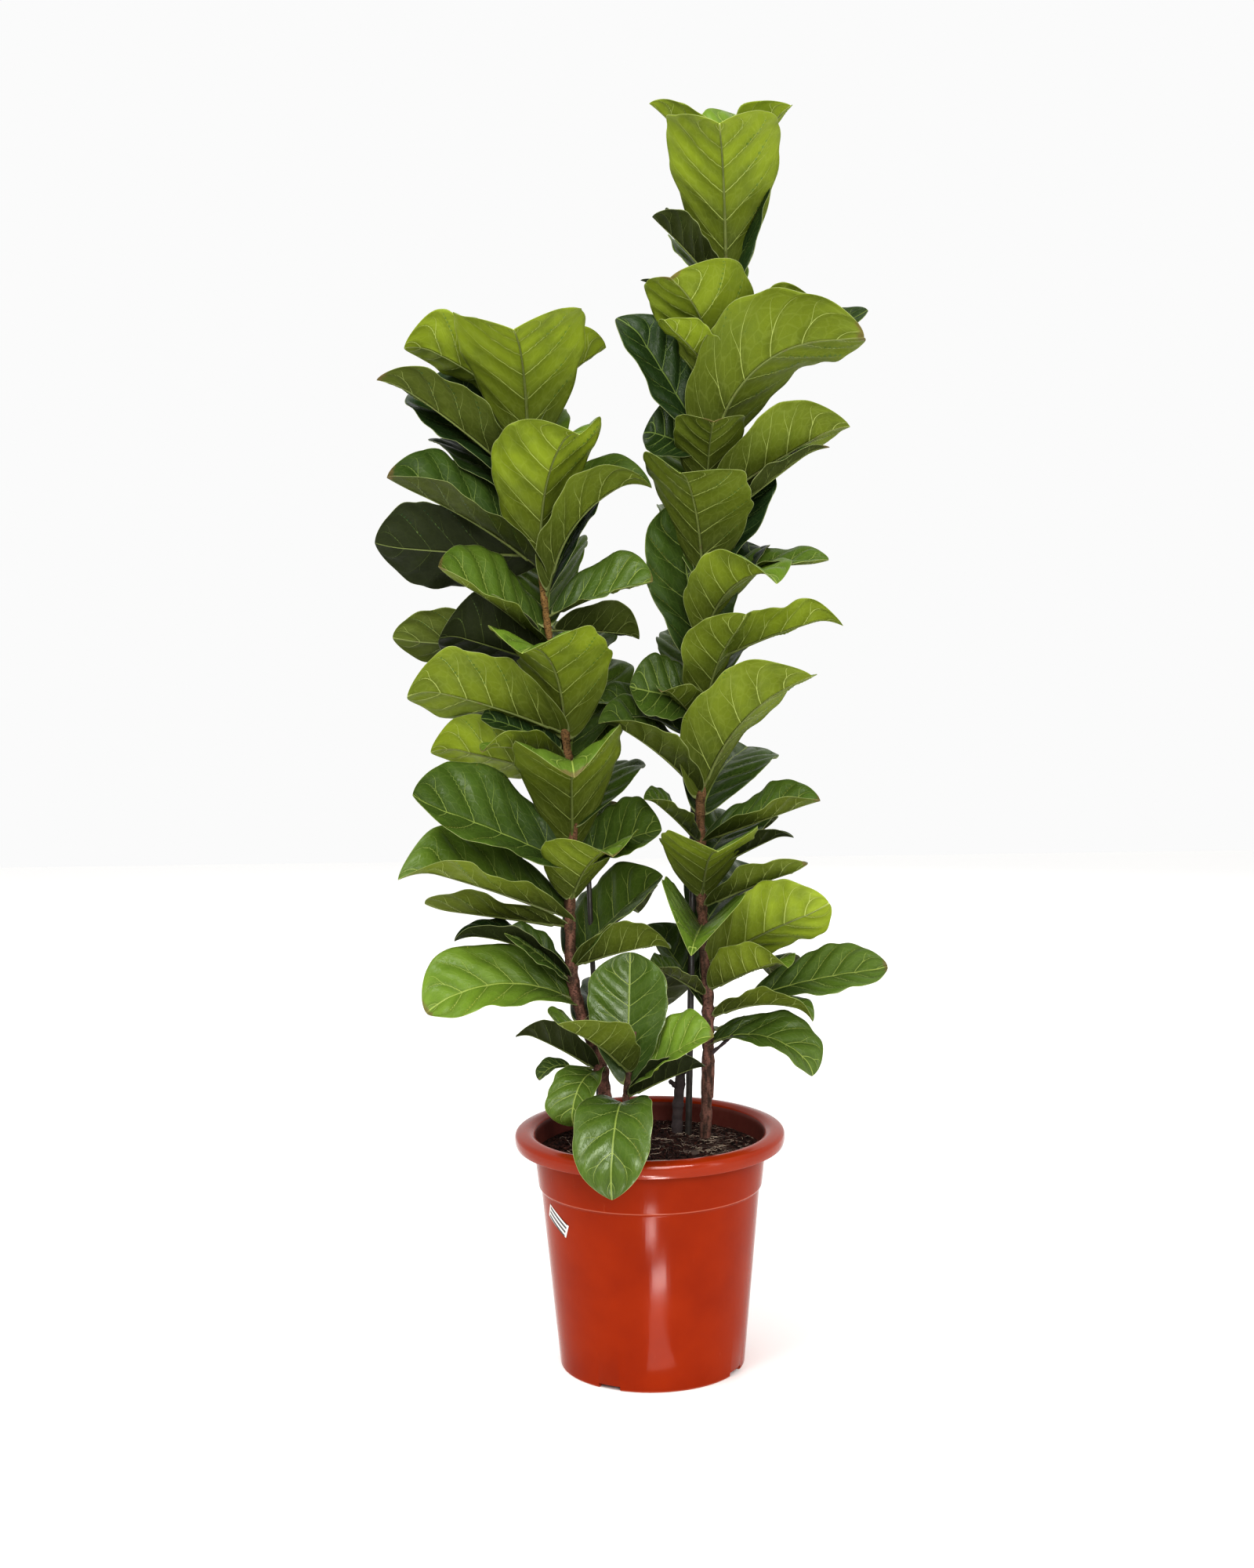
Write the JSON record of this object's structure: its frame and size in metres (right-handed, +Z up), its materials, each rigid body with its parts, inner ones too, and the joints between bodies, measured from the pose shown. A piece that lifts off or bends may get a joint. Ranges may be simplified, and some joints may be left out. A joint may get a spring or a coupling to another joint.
{
  "type": "potted fiddle leaf fig",
  "caption": "Tall fiddle leaf fig with upright leafy stems and broad waved leaves, standing in soil in a round terracotta-coloured plastic pot with a rolled lip.",
  "frame": {"origin": "middle of the pot's flat underside, on the surface it stands on", "axes": "+Z up along the pot's axis, -Y to the front, +X to the right seen from the front"},
  "size_m": [0.6536, 0.4483, 1.5928],
  "materials": {
    "pot_plastic": "satin",
    "soil": "matte",
    "sticker": "satin",
    "leaf": "satin",
    "bark": "matte",
    "stake": "satin"
  },
  "bodies": {
    "root": {"pot": "pot_plastic", "soil": "soil", "sticker": "sticker", "leafy_stem_left": "leaf", "leafy_stem_right": "leaf", "leafy_shoot_front": "leaf", "stump": "bark", "stake_right": "stake", "stake_left": "stake"}
  },
  "joints": []
}
